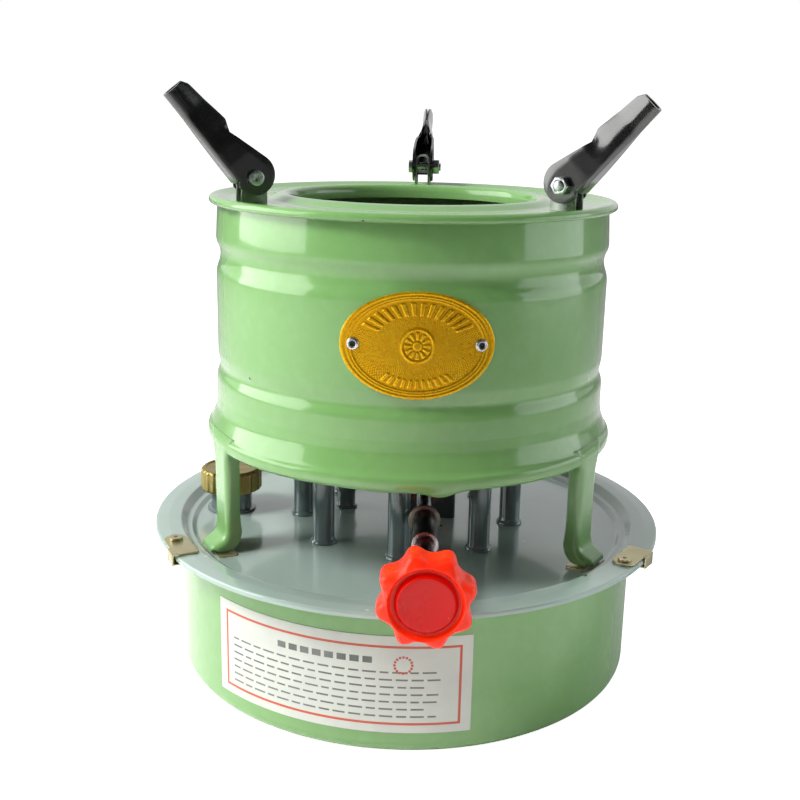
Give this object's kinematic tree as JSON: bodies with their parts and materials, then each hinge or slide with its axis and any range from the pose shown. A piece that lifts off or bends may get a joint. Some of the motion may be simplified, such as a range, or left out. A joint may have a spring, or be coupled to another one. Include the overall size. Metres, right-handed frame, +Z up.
{
  "type": "kerosene stove",
  "caption": "Wick-burning kerosene cooking stove: round enamelled tank, dished lid, burner drum on legs, folding pot arms and a star knob that raises the wicks.",
  "frame": {"origin": "centre of the tank's flat underside", "axes": "+Z up along the stove's axis, -Y towards the knob, +X to the right as seen from the knob side"},
  "size_m": [0.24, 0.2687, 0.2664],
  "materials": {
    "green_enamel": "glossy vitreous enamel",
    "grey_lacquer": "glossy grey lacquer",
    "black_paint": "satin black paint",
    "yellow_zinc": "yellow passivated zinc",
    "zinc": "bright zinc plate",
    "dark_steel": "oiled dark steel",
    "steel": "plain steel",
    "cotton": "woven cotton",
    "cork": "cork and rubber sheet",
    "red_plastic": "glossy red phenolic",
    "brass": "plain brass",
    "gold_badge": "gold lacquered embossed sheet",
    "paper_label": "printed label"
  },
  "bodies": {
    "stove": {"tank": "green_enamel", "lid": "grey_lacquer", "lid_gasket": "cork", "clip_rivets": "yellow_zinc", "filler_neck": "grey_lacquer", "wick_tubes": "grey_lacquer", "guide_tube": "grey_lacquer", "rack_housing": "black_paint", "shaft_bush": "brass", "burner_base": "steel", "drum_shell": "green_enamel", "drum_top": "green_enamel", "drum_legs": "green_enamel", "foot_tabs": "yellow_zinc", "arm_brackets": "zinc", "pivot_bolts": "zinc", "pivot_nuts": "zinc", "badge": "gold_badge", "badge_eyelets": "zinc", "label_panel": "paper_label"},
    "wick_lift": {"wick_carrier": "steel", "wicks": "cotton", "rack_rod": "steel", "guide_rod": "steel"},
    "control": {"pinion": "brass", "control_shaft": "steel", "shaft_collar": "zinc", "coupling_sleeve": "dark_steel", "e_clip": "dark_steel", "knob_spindle": "dark_steel", "control_knob": "red_plastic"},
    "pot_arm_left": {"pot_arm_left": "black_paint"},
    "pot_arm_right": {"pot_arm_right": "black_paint"},
    "pot_arm_back": {"pot_arm_back": "black_paint"},
    "lid_clip_left": {"lid_clip_left": "yellow_zinc"},
    "lid_clip_right": {"lid_clip_right": "yellow_zinc"},
    "lid_clip_back": {"lid_clip_back": "yellow_zinc"},
    "cap_lift": {"cap_gasket": "cork"},
    "filler_cap": {"filler_cap": "yellow_zinc"},
    "flame_sleeves": {"inner_flame_sleeve": "steel", "outer_flame_sleeve": "steel", "sleeve_pins": "steel", "burner_cap": "steel"}
  },
  "joints": [
    {"name": "knob_turn", "type": "hinge", "parent": "stove", "child": "control", "pos_m": [0.008, 0, 0.085], "axis": [0, 1, 0], "range_deg": [0, 150]},
    {"name": "wick_raise", "type": "slide", "parent": "stove", "child": "wick_lift", "axis": [0, 0, 1], "range_m": [0, 0.0157]},
    {"name": "pot_arm_left_fold", "type": "hinge", "parent": "stove", "child": "pot_arm_left", "pos_m": [-0.06891, -0.03436, 0.2282], "axis": [0.4462, -0.8949, 0], "range_deg": [-127, 18]},
    {"name": "pot_arm_right_fold", "type": "hinge", "parent": "stove", "child": "pot_arm_right", "pos_m": [0.06421, -0.0425, 0.2282], "axis": [0.5519, 0.8339, 0], "range_deg": [-130, 15]},
    {"name": "pot_arm_back_fold", "type": "hinge", "parent": "stove", "child": "pot_arm_back", "pos_m": [0.0047, 0.07686, 0.2282], "axis": [-0.9981, 0.061, 0], "range_deg": [-143, 2]},
    {"name": "lid_clip_left_swing", "type": "hinge", "parent": "stove", "child": "lid_clip_left", "pos_m": [-0.10247, -0.05109, 0.069], "axis": [0, 0, -1], "range_deg": [0, 80]},
    {"name": "lid_clip_right_swing", "type": "hinge", "parent": "stove", "child": "lid_clip_right", "pos_m": [0.09548, -0.0632, 0.069], "axis": [0, 0, -1], "range_deg": [0, 80]},
    {"name": "lid_clip_back_swing", "type": "hinge", "parent": "stove", "child": "lid_clip_back", "pos_m": [0.00699, 0.11429, 0.069], "axis": [0, 0, -1], "range_deg": [0, 80]},
    {"name": "cap_raise", "type": "slide", "parent": "stove", "child": "cap_lift", "axis": [0, 0, 1], "range_m": [0, 0.007]},
    {"name": "cap_turn", "type": "hinge", "parent": "cap_lift", "child": "filler_cap", "pos_m": [-0.087, 0.009, 0.08], "axis": [0, 0, 1], "range_deg": [0, 720]},
    {"name": "flame_sleeves_lift_out", "type": "slide", "parent": "stove", "child": "flame_sleeves", "axis": [0, 0, 1], "range_m": [0, 0.1]}
  ],
  "couplings": [
    {"joint": "knob_turn", "follows": "wick_raise", "rad_per_m": 166.67},
    {"joint": "cap_raise", "follows": "cap_turn", "m_per_rad": 0.00055704}
  ]
}
